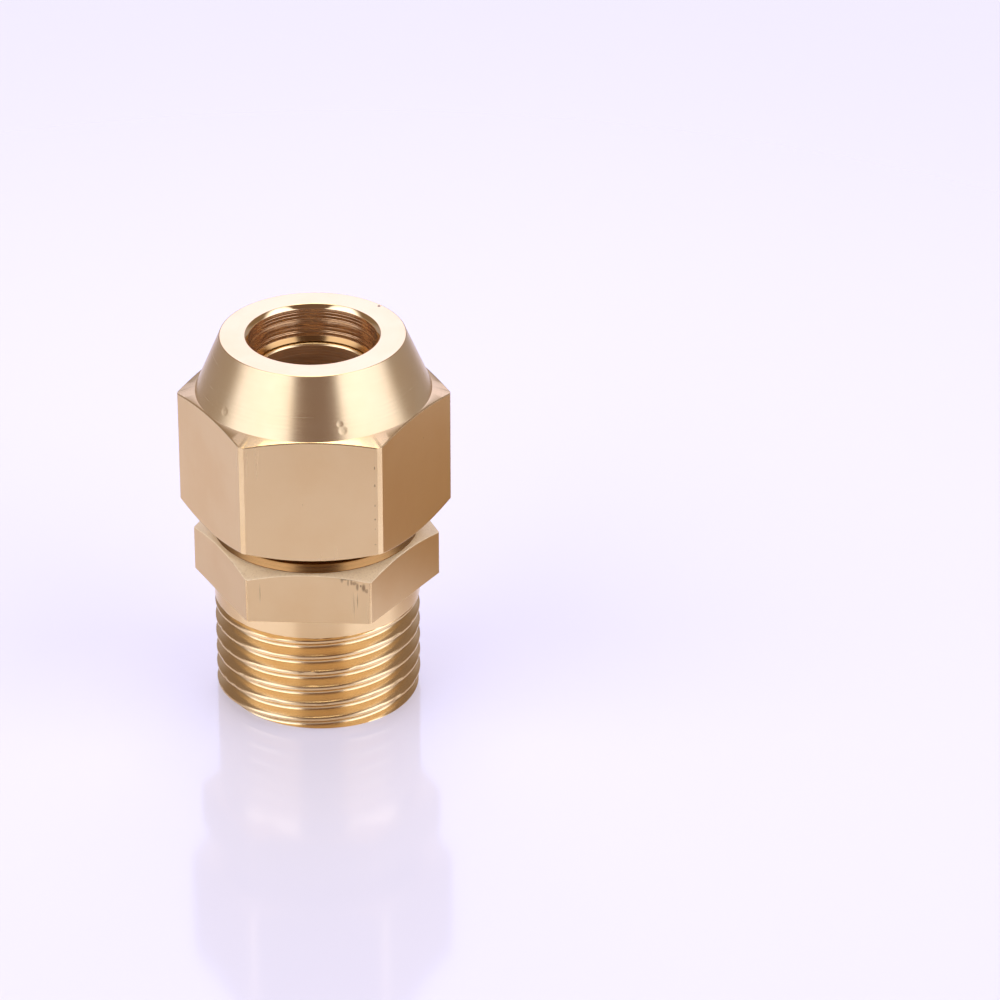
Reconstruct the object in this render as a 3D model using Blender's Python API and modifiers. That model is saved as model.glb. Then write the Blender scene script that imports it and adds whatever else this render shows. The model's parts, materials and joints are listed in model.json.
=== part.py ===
"""Brass compression cable gland: threaded body, cone-nosed nut and what the two squeeze between them.

Metres, +Z up. The origin is the centre of the entry thread's end face, on the gland's own axis.
The nut's corners lie on the X axis, and one of its flats faces -Y.
"""

import math

import bmesh
import bpy
from mathutils import Matrix

MM = 0.001

# Clearances
REST_GAP = 0.3 * MM            # between faces that rest on each other
SLIDE_FIT = 0.2 * MM           # radial, between a sliding piece and its socket
THREAD_PLAY = 0.17 * MM        # along the axis, between mating thread flanks
CREST_CLEARANCE = 0.2 * MM     # radial, between a crest and the root that it runs in

# Cable way
CABLE_BORE = 10.4 * MM         # throat, seal and seat washer
FERRULE_EASE = 0.28 * MM       # the ferrule's bore is this much larger in radius
TIP_CHAMFER = 0.28 * MM        # inner edge of the ferrule's nose
MOUTH_EASE = 0.68 * MM         # the nut's mouth is this much larger in radius than the nose

# Entry end of the body, half inch pipe thread
ENTRY_MAJOR = 20.955 * MM
ENTRY_PITCH = 1.814 * MM
ENTRY_FLANK_ANGLE = math.radians(27.5)
ENTRY_FORM_DEPTH = 0.6403      # depth of the form, in pitches
ENTRY_CREST_HEIGHT = -0.05 * MM  # centre of the lowest crest on the +X side
ENTRY_THREAD_LENGTH = 10.54 * MM
ENTRY_LEAD_LENGTH = 0.5 * MM
ENTRY_LEAD_ANGLE = math.radians(30.0)
ENTRY_WALL = 1.566 * MM        # from the thread's root to the entry bore
ENTRY_EDGE_BREAK = 0.3 * MM    # inner edge of the end face
COLLAR_LENGTH = 2.38 * MM
COLLAR_PROUD = 0.022 * MM      # the plain collar is this much larger in radius than the crests
THROAT_LENGTH = 7.2 * MM
SHOULDER_ANGLE = math.radians(30.0)

# Hexagon of the body
BODY_HEX_LAND = 0.36 * MM      # from the larger of collar and nut thread to the flats
BODY_HEX_HEIGHT = 5.47 * MM
BODY_HEX_TURN = math.radians(-2.5)
BODY_CHAMFER_ANGLE = math.radians(22.0)
BODY_CHAMFER_INSET = 0.1 * MM  # the chamfer's circle is this much inside the flats

# Upper end of the body, which holds the seal and carries the nut
SOCKET_DIAMETER = 15.5 * MM
SOCKET_WALL = 1.5 * MM         # from the socket to the root of the nut's thread
SOCKET_FLOOR_RISE = 0.86 * MM  # the socket's floor stands this far above the hexagon
SOCKET_LEAD = 0.4 * MM
NECK_LENGTH = 1.57 * MM
NECK_RELIEF = 0.1 * MM         # the neck is this much smaller in radius than the thread's root
RUNOUT_LENGTH = 1.2 * MM       # plain length between neck and thread
NUT_PITCH = 1.5 * MM
NUT_FLANK_ANGLE = math.radians(30.0)
NUT_FORM_DEPTH = 0.5           # depth of the form, in pitches
NUT_LEAD_LENGTH = 0.8 * MM     # 45 degree lead-in at the body's upper end

# Pieces inside
WASHER_THICKNESS = 1.0 * MM
SEAL_HEIGHT = 6.47 * MM
SEAL_EDGE_BREAK = 0.4 * MM
STEM_LENGTH = 4.04 * MM
STEM_LEAD = 0.3 * MM
RIM_HEIGHT = 0.6 * MM
RIM_CATCH = 0.2 * MM           # the rim overlaps the nut's thread by this, and stays in the nut
NOSE_HEIGHT = 3.72 * MM

# Nut
NUT_STANDOFF = 2.21 * MM       # open gap between the nut and the body's hexagon
NUT_WALL = 1.8 * MM            # from the thread groove to the flats
NUT_MOUTH_DEPTH = 4.08 * MM
NUT_MOUTH_CHAMFER = 0.37 * MM
NUT_LIP = 0.3 * MM             # the seat's inner edge stands this far inside the mouth
NUT_TOP_LAND = 2.54 * MM       # width of the flat ring on top
NUT_CONE_HEIGHT = 5.99 * MM
NUT_SHOULDER = 0.1 * MM        # the foot of the cone is this much inside the flats
NUT_SHOULDER_ANGLE = math.radians(19.0)
NUT_CHAMFER_ANGLE = math.radians(24.0)
NUT_COUNTERBORE_DEPTH = 1.9 * MM
NUT_COUNTERBORE_EASE = 0.25 * MM
RELIEF_EASE = 0.1 * MM         # the relief above the thread is this much larger in radius

# Finishes: colour, roughness and metallic value
BODY_BRASS = ((0.60, 0.40, 0.20), 0.30, 1.0)
NUT_BRASS = ((0.62, 0.42, 0.22), 0.28, 1.0)
FERRULE_BRASS = ((0.58, 0.37, 0.17), 0.32, 1.0)
WASHER_BRASS = ((0.56, 0.36, 0.17), 0.35, 1.0)
SEAL_RUBBER = ((0.020, 0.020, 0.022), 0.75, 0.0)

# Making
SEGMENTS = 36                  # facets round a full turn
HEX_SIDES = 6
CREST_FLAT = 1.0 / 6.0         # width of a crest, in pitches
THREAD_EMBED = 0.1 * MM        # how deep a thread is sunk in what carries it
CUT_MARGIN = 1.0 * MM          # how far a cutter reaches past what it cuts
SHARP_ANGLE = math.radians(25.0)
FLAT_ANGLE = math.radians(0.1)
MERGE_DISTANCE = 1e-6

# Radii that follow from the sizes above
cable_radius = CABLE_BORE / 2
ferrule_bore = cable_radius + FERRULE_EASE
tip_radius = ferrule_bore + TIP_CHAMFER
mouth_radius = tip_radius + MOUTH_EASE
lip_radius = mouth_radius - NUT_LIP
entry_crest = ENTRY_MAJOR / 2
entry_root = entry_crest - ENTRY_FORM_DEPTH * ENTRY_PITCH
entry_bore = entry_root - ENTRY_WALL
collar_radius = entry_crest + COLLAR_PROUD
socket_radius = SOCKET_DIAMETER / 2
insert_radius = socket_radius - SLIDE_FIT
upper_root = socket_radius + SOCKET_WALL
upper_crest = upper_root + NUT_FORM_DEPTH * NUT_PITCH
neck_radius = upper_root - NECK_RELIEF
body_flat = max(collar_radius, upper_crest) + BODY_HEX_LAND
body_corner = body_flat / math.cos(math.pi / HEX_SIDES)
nut_bore = upper_root + CREST_CLEARANCE
nut_groove = upper_crest + CREST_CLEARANCE
nut_relief = nut_groove + RELIEF_EASE
nut_counterbore = upper_crest + NUT_COUNTERBORE_EASE
nut_flat = nut_groove + NUT_WALL
nut_corner = nut_flat / math.cos(math.pi / HEX_SIDES)
nut_foot = nut_flat - NUT_SHOULDER
nut_top_radius = mouth_radius + NUT_MOUTH_CHAMFER + NUT_TOP_LAND
rim_radius = nut_bore + RIM_CATCH

# Heights that follow, from the end face up
hex_bottom = ENTRY_THREAD_LENGTH + COLLAR_LENGTH
hex_top = hex_bottom + BODY_HEX_HEIGHT
neck_top = hex_top + NECK_LENGTH
upper_start = neck_top + RUNOUT_LENGTH
socket_floor = hex_top + SOCKET_FLOOR_RISE
throat_bottom = socket_floor - THROAT_LENGTH
shoulder_bottom = throat_bottom - (entry_bore - cable_radius) * math.tan(SHOULDER_ANGLE)
washer_bottom = socket_floor + REST_GAP
seal_bottom = washer_bottom + WASHER_THICKNESS + REST_GAP
stem_bottom = seal_bottom + SEAL_HEIGHT + REST_GAP
rim_bottom = stem_bottom + STEM_LENGTH
rim_top = rim_bottom + RIM_HEIGHT
tip_height = rim_top + NOSE_HEIGHT
body_top = rim_bottom - NUT_STANDOFF
nut_bottom = hex_top + NUT_STANDOFF
counterbore_top = nut_bottom + NUT_COUNTERBORE_DEPTH
relief_bottom = rim_bottom - REST_GAP
seat_gap = REST_GAP * math.sqrt(2.0)  # along the axis, under the 45 degree seat
seat_top = rim_top + seat_gap + rim_radius - mouth_radius
relief_top = seat_top + mouth_radius - nut_relief
lip_height = seat_top + NUT_LIP
nut_top = seat_top + NUT_MOUTH_DEPTH
nut_foot_height = nut_top - NUT_CONE_HEIGHT


def clear_scene():
    for obj in list(bpy.data.objects):
        bpy.data.objects.remove(obj, do_unlink=True)


def make_collection(name):
    collection = bpy.data.collections.new(name)
    bpy.context.scene.collection.children.link(collection)
    return collection


def make_material(name, colour, roughness, metallic):
    material = bpy.data.materials.new(name)
    material.use_nodes = True
    shader = material.node_tree.nodes["Principled BSDF"]
    shader.inputs["Base Color"].default_value = (*colour, 1.0)
    shader.inputs["Roughness"].default_value = roughness
    shader.inputs["Metallic"].default_value = metallic
    return material


def add_guide(name, mesh):
    """A shape that others are cut or joined with, kept out of the finished object."""
    obj = bpy.data.objects.new(name, mesh)
    obj.hide_render = True
    obj.display_type = "WIRE"
    guides.objects.link(obj)
    return obj


def baked(obj):
    """The object's mesh with its modifiers carried out."""
    bpy.context.view_layer.update()
    graph = bpy.context.evaluated_depsgraph_get()
    return bpy.data.meshes.new_from_object(obj.evaluated_get(graph))


def outline(name, points, closed):
    """A line of (radius, height) points in the XZ plane."""
    mesh = bpy.data.meshes.new(name)
    pairs = len(points) if closed else len(points) - 1
    edges = [(i, (i + 1) % len(points)) for i in range(pairs)]
    mesh.from_pydata([(radius, 0.0, height) for radius, height in points], edges, [])
    return add_guide(name, mesh)


def add_screw(obj, pitch, turns):
    screw = obj.modifiers.new("Screw", "SCREW")
    screw.axis = "Z"
    screw.angle = math.tau
    screw.screw_offset = pitch
    screw.iterations = turns
    screw.steps = SEGMENTS
    screw.render_steps = SEGMENTS
    screw.use_merge_vertices = pitch == 0.0
    screw.merge_threshold = MERGE_DISTANCE


def turned(name, points, closed=False):
    """A turned shape, whose outline runs from the top down its outer side."""
    obj = outline(name, points, closed)
    add_screw(obj, 0.0, 1)
    return obj


def hexagon(name, corner, bottom, top, turn):
    """A six-sided bar with two of its corners on the X axis, then turned about its own axis."""
    bar = bmesh.new()
    bmesh.ops.create_cone(bar, cap_ends=True, segments=HEX_SIDES, radius1=corner, radius2=corner,
                          depth=top - bottom)
    bmesh.ops.rotate(bar, verts=bar.verts, matrix=Matrix.Rotation(turn + math.pi / HEX_SIDES, 3, "Z"))
    bmesh.ops.translate(bar, verts=bar.verts, vec=(0.0, 0.0, (bottom + top) / 2))
    mesh = bpy.data.meshes.new(name)
    bar.to_mesh(mesh)
    bar.free()
    return add_guide(name, mesh)


def thread(name, crest, base, crest_half, flank_angle, pitch, crest_height, bottom, top):
    """A right-hand thread ridge. One of its crests crosses the +X side at crest_height."""
    base_half = crest_half + (crest - base) * math.tan(flank_angle)
    first = math.floor((bottom - pitch - crest_height) / pitch)
    start = crest_height + first * pitch
    turns = math.ceil((top + pitch / 2 - start) / pitch)
    ridge = outline(name + "_outline", [
        (crest, start + crest_half),
        (crest, start - crest_half),
        (base, start - base_half),
        (base, start + base_half),
    ], closed=True)
    add_screw(ridge, pitch, turns)
    mesh = baked(ridge)
    ends = bmesh.new()
    ends.from_mesh(mesh)
    bmesh.ops.holes_fill(ends, edges=[edge for edge in ends.edges if edge.is_boundary], sides=0)
    bmesh.ops.recalc_face_normals(ends, faces=ends.faces)
    ends.to_mesh(mesh)
    ends.free()
    bpy.data.objects.remove(ridge, do_unlink=True)
    return add_guide(name, mesh)


def combine(obj, operation, other, solver="EXACT"):
    boolean = obj.modifiers.new(other.name, "BOOLEAN")
    boolean.operation = operation
    boolean.object = other
    boolean.solver = solver


def combine_threaded(obj, operation, other):
    """As combine, for shapes with a thread, whose long thin faces need the other solver."""
    combine(obj, operation, other, "MANIFOLD")


def clean(mesh):
    """Take out the slivers that joining and cutting leave, and join faces that lie in one plane."""
    shape = bmesh.new()
    shape.from_mesh(mesh)
    bmesh.ops.remove_doubles(shape, verts=shape.verts, dist=MERGE_DISTANCE)
    bmesh.ops.dissolve_degenerate(shape, edges=shape.edges, dist=MERGE_DISTANCE)
    bmesh.ops.dissolve_limit(shape, angle_limit=FLAT_ANGLE, verts=shape.verts, edges=shape.edges,
                             use_dissolve_boundaries=False)
    shape.to_mesh(mesh)
    shape.free()


def finish(name, shape, height, material, parent=None):
    """Make a named piece of a finished shape, with its origin on the axis at the given height."""
    mesh = baked(shape)
    clean(mesh)
    mesh.name = name
    mesh.transform(Matrix.Translation((0.0, 0.0, -height)))
    mesh.shade_smooth()
    mesh.set_sharp_from_angle(angle=SHARP_ANGLE)
    mesh.materials.clear()
    mesh.materials.append(material)
    obj = bpy.data.objects.new(name, mesh)
    obj.location.z = height
    if parent is not None:
        obj.parent = parent
        obj.location.z = height - parent.location.z
    pieces.objects.link(obj)
    return obj


def body_blank():
    """The body's round blank, longer than the body at both ends."""
    hex_middle = (hex_bottom + hex_top) / 2
    flank = (collar_radius - entry_root) * math.tan(ENTRY_FLANK_ANGLE)
    return turned("body_blank", [
        (0.0, body_top + CUT_MARGIN),
        (upper_root, body_top + CUT_MARGIN),
        (upper_root, neck_top),
        (neck_radius, neck_top),
        (neck_radius, hex_middle),
        (collar_radius, hex_middle),
        (collar_radius, ENTRY_THREAD_LENGTH),
        (entry_root, ENTRY_THREAD_LENGTH - flank),
        (entry_root, -CUT_MARGIN),
        (0.0, -CUT_MARGIN),
    ])


def body_hexagon():
    """The wrench hexagon, chamfered on its upper side only."""
    bar = hexagon("body_hexagon", body_corner, hex_bottom - CUT_MARGIN, hex_top + CUT_MARGIN,
                  BODY_HEX_TURN)
    circle = body_flat - BODY_CHAMFER_INSET
    reach = body_corner + CUT_MARGIN
    combine(bar, "INTERSECT", turned("body_chamfer", [
        (0.0, hex_top),
        (circle, hex_top),
        (reach, hex_top - (reach - circle) * math.tan(BODY_CHAMFER_ANGLE)),
        (reach, hex_bottom),
        (0.0, hex_bottom),
    ]))
    return bar


def upper_thread():
    """The male thread that carries the nut, ending in a 45 degree run-out above the neck."""
    ridge = thread("upper_thread", upper_crest, upper_root - THREAD_EMBED, CREST_FLAT * NUT_PITCH / 2,
                   NUT_FLANK_ANGLE, NUT_PITCH, neck_top, upper_start, body_top + CUT_MARGIN)
    reach = upper_crest + CUT_MARGIN
    inside = upper_root - CUT_MARGIN
    combine_threaded(ridge, "INTERSECT", turned("upper_runout", [
        (0.0, body_top + CUT_MARGIN / 2),
        (reach, body_top + CUT_MARGIN / 2),
        (reach, upper_start + reach - upper_root),
        (inside, upper_start + inside - upper_root),
        (0.0, upper_start + inside - upper_root),
    ]))
    return ridge


def body_ends():
    """All that lies between the body's two ends, with their lead-in cones."""
    reach = body_corner + CUT_MARGIN
    top_circle = upper_crest - NUT_LEAD_LENGTH
    slope = math.tan(ENTRY_LEAD_ANGLE)
    end_circle = entry_crest - ENTRY_LEAD_LENGTH * slope
    return turned("body_ends", [
        (0.0, body_top),
        (top_circle, body_top),
        (reach, body_top - (reach - top_circle)),
        (reach, (reach - end_circle) / slope),
        (end_circle, 0.0),
        (0.0, 0.0),
    ])


def body_way():
    """The bore through the body: seal socket, throat, conical shoulder and entry bore."""
    lead = socket_radius + SOCKET_LEAD
    mouth = entry_bore + ENTRY_EDGE_BREAK
    return turned("body_way", [
        (0.0, body_top + CUT_MARGIN),
        (lead + CUT_MARGIN, body_top + CUT_MARGIN),
        (socket_radius, body_top - SOCKET_LEAD),
        (socket_radius, socket_floor),
        (cable_radius, socket_floor),
        (cable_radius, throat_bottom),
        (entry_bore, shoulder_bottom),
        (entry_bore, ENTRY_EDGE_BREAK),
        (mouth + CUT_MARGIN, -CUT_MARGIN),
        (0.0, -CUT_MARGIN),
    ])


def make_body():
    body = body_blank()
    entry = thread("entry_thread", entry_crest, entry_root - THREAD_EMBED, CREST_FLAT * ENTRY_PITCH / 2,
                   ENTRY_FLANK_ANGLE, ENTRY_PITCH, ENTRY_CREST_HEIGHT, 0.0, ENTRY_THREAD_LENGTH)
    combine(body, "UNION", body_hexagon())
    combine_threaded(body, "UNION", entry)
    combine_threaded(body, "UNION", upper_thread())
    combine_threaded(body, "INTERSECT", body_ends())
    combine_threaded(body, "DIFFERENCE", body_way())
    return finish("gland_body", body, 0.0, brass_body)


def nut_outside():
    """What the lathe leaves of the nut's hexagon bar: cone, shoulder and lower chamfer."""
    reach = nut_corner + CUT_MARGIN
    past_foot = reach - nut_foot
    return turned("nut_outside", [
        (0.0, nut_top),
        (nut_top_radius, nut_top),
        (nut_foot, nut_foot_height),
        (reach, nut_foot_height - past_foot * math.tan(NUT_SHOULDER_ANGLE)),
        (reach, nut_bottom + past_foot * math.tan(NUT_CHAMFER_ANGLE)),
        (nut_foot, nut_bottom),
        (0.0, nut_bottom),
    ])


def nut_way():
    """The nut's inside: mouth, lip, 45 degree seat, relief, thread bore and counterbore."""
    chamfer_reach = mouth_radius + NUT_MOUTH_CHAMFER + CUT_MARGIN
    step = nut_counterbore - nut_bore
    return turned("nut_way", [
        (0.0, nut_top + CUT_MARGIN),
        (chamfer_reach, nut_top + CUT_MARGIN),
        (mouth_radius, nut_top - NUT_MOUTH_CHAMFER),
        (mouth_radius, lip_height + NUT_LIP),
        (lip_radius, lip_height),
        (nut_relief, relief_top),
        (nut_relief, relief_bottom),
        (nut_bore, relief_bottom),
        (nut_bore, counterbore_top + step),
        (nut_counterbore, counterbore_top),
        (nut_counterbore, nut_bottom - CUT_MARGIN),
        (0.0, nut_bottom - CUT_MARGIN),
    ])


def nut_thread():
    """The groove that the body's thread runs in, with play on every side."""
    slope = math.tan(NUT_FLANK_ANGLE)
    half = CREST_FLAT * NUT_PITCH / 2 + THREAD_PLAY - CREST_CLEARANCE * slope
    low = (nut_bottom + counterbore_top) / 2
    high = (relief_bottom + relief_top) / 2
    groove = thread("nut_thread", nut_groove, nut_bore - THREAD_EMBED, half,
                    NUT_FLANK_ANGLE, NUT_PITCH, neck_top, low, high)
    reach = nut_groove + CUT_MARGIN
    combine_threaded(groove, "INTERSECT", turned("nut_thread_ends", [
        (0.0, high),
        (reach, high),
        (reach, low),
        (0.0, low),
    ]))
    return groove


def make_nut():
    nut = hexagon("nut_bar", nut_corner, nut_bottom - CUT_MARGIN, nut_top + CUT_MARGIN, 0.0)
    combine(nut, "INTERSECT", nut_outside())
    combine(nut, "DIFFERENCE", nut_way())
    combine_threaded(nut, "DIFFERENCE", nut_thread())
    return finish("gland_nut", nut, nut_bottom, brass_nut, nut_axis)


def make_ferrule():
    """The ring that the nut carries down on the seal. Its rim turns freely in the nut's relief."""
    ferrule = turned("ferrule_outline", [
        (tip_radius, tip_height),
        (rim_radius, rim_top),
        (rim_radius, rim_bottom),
        (insert_radius, rim_bottom),
        (insert_radius, stem_bottom + STEM_LEAD),
        (insert_radius - STEM_LEAD, stem_bottom),
        (ferrule_bore, stem_bottom),
        (ferrule_bore, tip_height - TIP_CHAMFER),
    ], closed=True)
    return finish("thrust_ferrule", ferrule, stem_bottom, brass_ferrule, nut_axis)


def make_seal():
    seal_top = seal_bottom + SEAL_HEIGHT
    seal = turned("seal_outline", [
        (insert_radius - SEAL_EDGE_BREAK, seal_top),
        (insert_radius, seal_top - SEAL_EDGE_BREAK),
        (insert_radius, seal_bottom + SEAL_EDGE_BREAK),
        (insert_radius - SEAL_EDGE_BREAK, seal_bottom),
        (cable_radius, seal_bottom),
        (cable_radius, seal_top),
    ], closed=True)
    return finish("sealing_sleeve", seal, seal_bottom, black_rubber)


def make_washer():
    washer_top = washer_bottom + WASHER_THICKNESS
    washer = turned("washer_outline", [
        (insert_radius, washer_top),
        (insert_radius, washer_bottom),
        (cable_radius, washer_bottom),
        (cable_radius, washer_top),
    ], closed=True)
    return finish("seat_washer", washer, washer_bottom, brass_washer)


clear_scene()
pieces = make_collection("cable_gland")
guides = make_collection("cable_gland_cutters")

brass_body = make_material("brass_body", *BODY_BRASS)
brass_nut = make_material("brass_nut", *NUT_BRASS)
brass_ferrule = make_material("brass_ferrule", *FERRULE_BRASS)
brass_washer = make_material("brass_washer", *WASHER_BRASS)
black_rubber = make_material("black_rubber", *SEAL_RUBBER)

nut_axis = bpy.data.objects.new("nut_axis", None)
nut_axis.location.z = nut_bottom
pieces.objects.link(nut_axis)

make_body()
make_washer()
make_seal()
make_ferrule()
make_nut()
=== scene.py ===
# %% [markdown]
# # A brass cable gland
# A compression gland carries a cable through a wall and grips it. Its body screws into the wall, and its
# nut squeezes a rubber seal round the cable. Almost all of it is bare brass, so this lesson is about two
# things: shapes made the way a lathe and a mill make them, and metal that has something soft and bright
# to reflect. The packed model comes first. Its heights could be typed in again, but they are read from
# it instead, because its places and sizes are fixed and everything here has to fit it.

# %% Load the packed model
import json
import math

import bmesh
import bpy
from mathutils import Matrix, Vector, noise

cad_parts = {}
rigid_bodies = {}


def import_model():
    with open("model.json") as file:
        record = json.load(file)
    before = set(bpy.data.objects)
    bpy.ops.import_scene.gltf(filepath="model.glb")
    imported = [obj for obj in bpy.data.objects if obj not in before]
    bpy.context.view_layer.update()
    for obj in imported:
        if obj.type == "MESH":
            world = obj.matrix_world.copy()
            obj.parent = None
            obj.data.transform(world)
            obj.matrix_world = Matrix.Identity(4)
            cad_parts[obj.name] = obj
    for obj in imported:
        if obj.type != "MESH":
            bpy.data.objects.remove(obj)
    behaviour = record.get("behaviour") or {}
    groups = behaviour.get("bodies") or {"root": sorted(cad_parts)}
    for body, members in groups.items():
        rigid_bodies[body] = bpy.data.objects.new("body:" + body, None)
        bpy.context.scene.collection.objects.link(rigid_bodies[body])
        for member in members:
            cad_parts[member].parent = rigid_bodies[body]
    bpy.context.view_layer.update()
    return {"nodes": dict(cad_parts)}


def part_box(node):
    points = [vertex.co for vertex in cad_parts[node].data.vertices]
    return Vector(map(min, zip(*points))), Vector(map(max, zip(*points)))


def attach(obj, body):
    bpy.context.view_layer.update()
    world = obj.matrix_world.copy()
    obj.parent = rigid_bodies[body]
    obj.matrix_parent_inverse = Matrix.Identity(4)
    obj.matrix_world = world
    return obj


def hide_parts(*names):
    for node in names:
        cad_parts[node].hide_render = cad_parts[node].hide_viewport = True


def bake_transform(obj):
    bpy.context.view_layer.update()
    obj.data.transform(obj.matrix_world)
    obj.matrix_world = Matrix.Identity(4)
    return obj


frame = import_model()
MM = 0.001


def heights(node):
    """The lowest and the highest point of a packed node, in millimetres."""
    return tuple(corner[2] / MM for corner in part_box(node))


print("nodes:", {name: heights(name) for name in sorted(frame["nodes"])})

# %% [markdown]
# ## The camera
# The picture is taken from a little above with a long lens, so the upright edges of the nut stay almost
# parallel. The camera could be aimed with a constraint, but a place and one angle are easier to read and
# to change.

# %% Camera
CAMERA_PLACE = (0.018696, -0.474375, 0.279282)
CAMERA_PITCH = math.radians(28.56)
CAMERA_LENS = 191.6
SENSOR_WIDTH = 36.0

camera_data = bpy.data.cameras.new("camera")
camera_data.lens = CAMERA_LENS
camera_data.sensor_width = SENSOR_WIDTH
camera = bpy.data.objects.new("camera", camera_data)
camera.location = CAMERA_PLACE
camera.rotation_euler = (math.pi / 2 - CAMERA_PITCH, 0.0, 0.0)
bpy.context.scene.collection.objects.link(camera)
bpy.context.scene.camera = camera
bpy.context.scene.view_settings.view_transform = "Standard"
print("camera at", CAMERA_PLACE)

# %% [markdown]
# ## Shader maths in Python
# A material is a graph of nodes. The nodes could be added and linked one by one, but long graphs are
# hard to read that way. This class wraps one socket, so that `1 - mask` adds a Math node and gives back
# its output. Every other kind of node comes from one method.

# %% A socket with operators


class Socket:
    """One socket of a node tree, with Python's operators for its maths."""

    def __init__(self, tree, socket=None):
        self.tree = tree
        self.socket = socket

    def node(self, kind, settings=None, inputs=None, output=0):
        """Add a node, set it up, feed its inputs, and give back one of its outputs."""
        node = self.tree.nodes.new("ShaderNode" + kind)
        for name, value in (settings or {}).items():
            setattr(node, name, value)
        for key, value in (inputs or {}).items():
            self.feed(node.inputs[key], value)
        return Socket(self.tree, node.outputs[output])

    def feed(self, target, value):
        """Link a socket to an input, or set the input to a plain value."""
        if isinstance(value, Socket):
            self.tree.links.new(value.socket, target)
        else:
            target.default_value = value

    def maths(self, operation, *values):
        return self.node("Math", {"operation": operation}, dict(enumerate(values)))

    def step(self, low, high):
        """Nought below low, one above high, and smooth between them."""
        return self.node("MapRange", {"interpolation_type": "SMOOTHSTEP"},
                         {"Value": self, "From Min": low, "From Max": high})

    def mix(self, first, second):
        """One colour turning into another as this value goes from nought to one."""
        return self.node("Mix", {"data_type": "RGBA"}, {0: self, 6: first, 7: second}, 2)

    def __add__(self, other):
        return self.maths("ADD", self, other)

    def __radd__(self, other):
        return self.maths("ADD", other, self)

    def __sub__(self, other):
        return self.maths("SUBTRACT", self, other)

    def __rsub__(self, other):
        return self.maths("SUBTRACT", other, self)

    def __mul__(self, other):
        return self.maths("MULTIPLY", self, other)

    def __rmul__(self, other):
        return self.maths("MULTIPLY", other, self)


def rgb(red, green, blue):
    return (red, green, blue, 1.0)


def split(maker, vector):
    """The three coordinates of a vector."""
    return [maker.node("SeparateXYZ", inputs={0: vector}, output=axis) for axis in range(3)]


print("socket methods:", [name for name in vars(Socket) if not name.startswith("__")])

# %% [markdown]
# ## The light
# Polished metal has hardly any colour of its own: it shows what stands round it. Here that is a studio
# with a wide soft box on each side, a bright wall behind, and a darker room on the side of the camera.
# Lamps could make the boxes, but a world that is painted by direction gives them soft edges and no
# noise. First come its colours. Each one that ends in HIGH takes over further up.

# %% Studio colours
ROOM = rgb(0.40, 0.36, 0.42)
ROOM_HIGH = rgb(0.26, 0.19, 0.16)
CAMERA_SIDE = rgb(0.29, 0.23, 0.27)
CAMERA_SIDE_HIGH = rgb(0.17, 0.11, 0.10)
SOFT_BOX = rgb(1.45, 1.55, 2.2)
SOFT_BOX_HIGH = rgb(2.2, 2.3, 3.0)
BACK_WALL = rgb(1.55, 1.57, 2.5)
CEILING = rgb(0.80, 0.76, 0.90)
PALE = rgb(0.905, 0.855, 1.0)
print("background:", PALE)

# %% [markdown]
# ## The studio's edges
# In a real studio a soft box fades out at its rim. A hard edge would be simpler, but it would show as a
# line on the turned cone. So each edge here has a start and an end, and the light changes smoothly
# between them. A bearing is measured from the camera round to the back, and a height up from the
# horizon, both in degrees. The gap between the boxes is measured across the view instead, so that its
# sides stay upright on the cone.

# %% Studio edges
CAMERA_BEARING = math.atan2(CAMERA_PLACE[0], -CAMERA_PLACE[1])
DEGREES = 180.0 / math.pi
GAP_SHIFT = 0.03
GAP_EDGE = (0.34, 0.43)
GAP_FRONT = (-0.05, 0.15)
GAP_RISE = (12.0, 28.0)
BOX_EDGE = (0.36, 0.45)
BOX_END = (79.0, 99.0)
BOX_LEAN = 0.15
BOX_FOOT = (-1.0, 6.0)
BOX_HEAD = (52.0, 74.0)
BOX_RISE = (14.0, 30.0)
WALL_EDGE = (142.0, 170.0)
WALL_FOOT = (12.0, 24.0)
WALL_HEAD = (58.0, 80.0)
ROOM_RISE = (10.0, 22.0)
ROOM_END = (135.0, 150.0)
CEILING_EDGE = (70.0, 84.0)

world = bpy.data.worlds.new("studio")
world.use_nodes = True
bpy.context.scene.world = world
studio = Socket(world.node_tree)
x, y, z = split(studio, studio.node("TexCoord", output="Generated"))
across = x * math.cos(CAMERA_BEARING) + y * math.sin(CAMERA_BEARING)
side = studio.maths("ABSOLUTE", across - GAP_SHIFT)
front = x * math.sin(CAMERA_BEARING) - y * math.cos(CAMERA_BEARING)
bearing = studio.maths("ARCTAN2", side, front) * DEGREES
height = studio.maths("ARCSINE", z) * DEGREES
ahead = (1.0 - side.step(*GAP_EDGE)) * front.step(*GAP_FRONT)
beside = side.step(*BOX_EDGE) * (1.0 - (bearing - BOX_LEAN * height).step(*BOX_END))
box_height = height.step(*BOX_FOOT) * (1.0 - height.step(*BOX_HEAD))
behind = bearing.step(*WALL_EDGE) * height.step(*WALL_FOOT) * (1.0 - height.step(*WALL_HEAD))
aside = height.step(*ROOM_RISE) * (1.0 - bearing.step(*ROOM_END))
seen = height.step(*CEILING_EDGE).mix(aside.mix(ROOM, ROOM_HIGH), CEILING)
seen = ahead.mix(seen, height.step(*GAP_RISE).mix(CAMERA_SIDE, CAMERA_SIDE_HIGH))
seen = (beside * box_height).mix(seen, height.step(*BOX_RISE).mix(SOFT_BOX, SOFT_BOX_HIGH))
seen = behind.mix(seen, BACK_WALL)
ray = studio.node("LightPath", output="Is Camera Ray")
studio.feed(world.node_tree.nodes["Background"].inputs["Color"], ray.mix(seen, PALE))
print("world nodes:", len(world.node_tree.nodes))

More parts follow.
